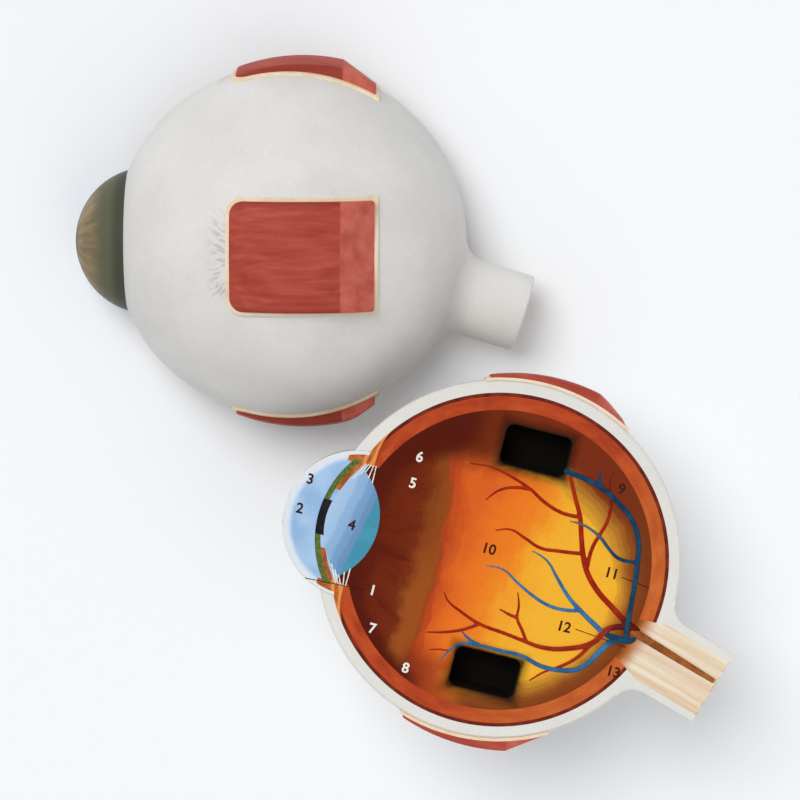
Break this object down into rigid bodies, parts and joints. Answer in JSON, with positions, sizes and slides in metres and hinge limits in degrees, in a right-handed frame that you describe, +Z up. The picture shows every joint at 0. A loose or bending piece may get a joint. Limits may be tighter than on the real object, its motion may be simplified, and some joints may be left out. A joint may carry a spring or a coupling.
{
  "type": "eye anatomy model",
  "caption": "Soft foam eyeball model cut into two halves that peg together: the cut face shows the layers, lens and retinal vessels, the outside the eye muscles.",
  "frame": {"origin": "on the table, at the flat foot of the open half, straight under the centre of its ball", "axes": "+X runs from the cornea to the optic nerve of the open half, +Y up the eye on its cut face, +Z straight up out of the cut face"},
  "size_m": [0.2475, 0.2081, 0.0751],
  "materials": {
    "sclera": "white soft painted foam, matt, fine skin texture",
    "choroid": "dark red-brown soft painted foam, matt, fine skin texture",
    "retina": "red-orange soft painted foam, matt, fine skin texture",
    "vitreous": "yellow to orange to dark brown, painted in soft patches on foam",
    "cornea": "white rim outside, soft painted foam, matt, fine skin texture",
    "aqueous_chamber": "light blue soft painted foam, matt, fine skin texture",
    "iris": "olive green soft painted foam, matt, fine skin texture",
    "pupil": "black soft painted foam, matt, fine skin texture",
    "lens": "teal blue in soft patches on foam",
    "ciliary_body": "orange-brown soft painted foam, matt, fine skin texture",
    "optic_nerve_sheath": "white soft painted foam, matt, fine skin texture",
    "optic_nerve_fibres": "cream and peach bands on foam",
    "rectus": "red streaked soft painted foam, matt, fine skin texture",
    "rectus_border": "cream soft painted foam, matt, fine skin texture",
    "peg": "black soft painted foam, matt, fine skin texture",
    "retinal_arteries": "red paint on raised foam",
    "retinal_veins": "blue paint on raised foam",
    "central_vessels": "brown-orange paint on raised foam",
    "zonules": "white paint on raised foam"
  },
  "bodies": {
    "socket_half": {"socket_half_sclera": "sclera", "socket_half_choroid": "choroid", "socket_half_retina": "retina", "socket_half_vitreous": "vitreous", "socket_half_cornea": "cornea", "socket_half_aqueous_chamber": "aqueous_chamber", "socket_half_iris": "iris", "socket_half_pupil": "pupil", "socket_half_lens": "lens", "socket_half_ciliary_body": "ciliary_body", "socket_half_optic_nerve_sheath": "optic_nerve_sheath", "socket_half_optic_nerve_fibres": "optic_nerve_fibres", "socket_half_superior_rectus": "rectus", "socket_half_superior_rectus_border": "rectus_border", "socket_half_inferior_rectus": "rectus", "socket_half_inferior_rectus_border": "rectus_border", "socket_half_medial_rectus": "rectus", "socket_half_medial_rectus_border": "rectus_border", "socket_half_retinal_arteries": "retinal_arteries", "socket_half_retinal_veins": "retinal_veins", "socket_half_central_vessels": "central_vessels", "socket_half_zonules": "zonules"},
    "peg_half": {"peg_half_sclera": "sclera", "peg_half_choroid": "choroid", "peg_half_retina": "retina", "peg_half_vitreous": "vitreous", "peg_half_cornea": "cornea", "peg_half_aqueous_chamber": "aqueous_chamber", "peg_half_iris": "iris", "peg_half_pupil": "pupil", "peg_half_lens": "lens", "peg_half_ciliary_body": "ciliary_body", "peg_half_optic_nerve_sheath": "optic_nerve_sheath", "peg_half_optic_nerve_fibres": "optic_nerve_fibres", "peg_half_superior_rectus": "rectus", "peg_half_superior_rectus_border": "rectus_border", "peg_half_inferior_rectus": "rectus", "peg_half_inferior_rectus_border": "rectus_border", "peg_half_lateral_rectus": "rectus", "peg_half_lateral_rectus_border": "rectus_border", "peg_half_upper_peg": "peg", "peg_half_lower_peg": "peg"}
  },
  "joints": [
    {"name": "peg_half_lift", "type": "slide", "parent": "socket_half", "child": "peg_half", "axis": [0, 0, 1], "range_m": [0, 0.08]}
  ]
}
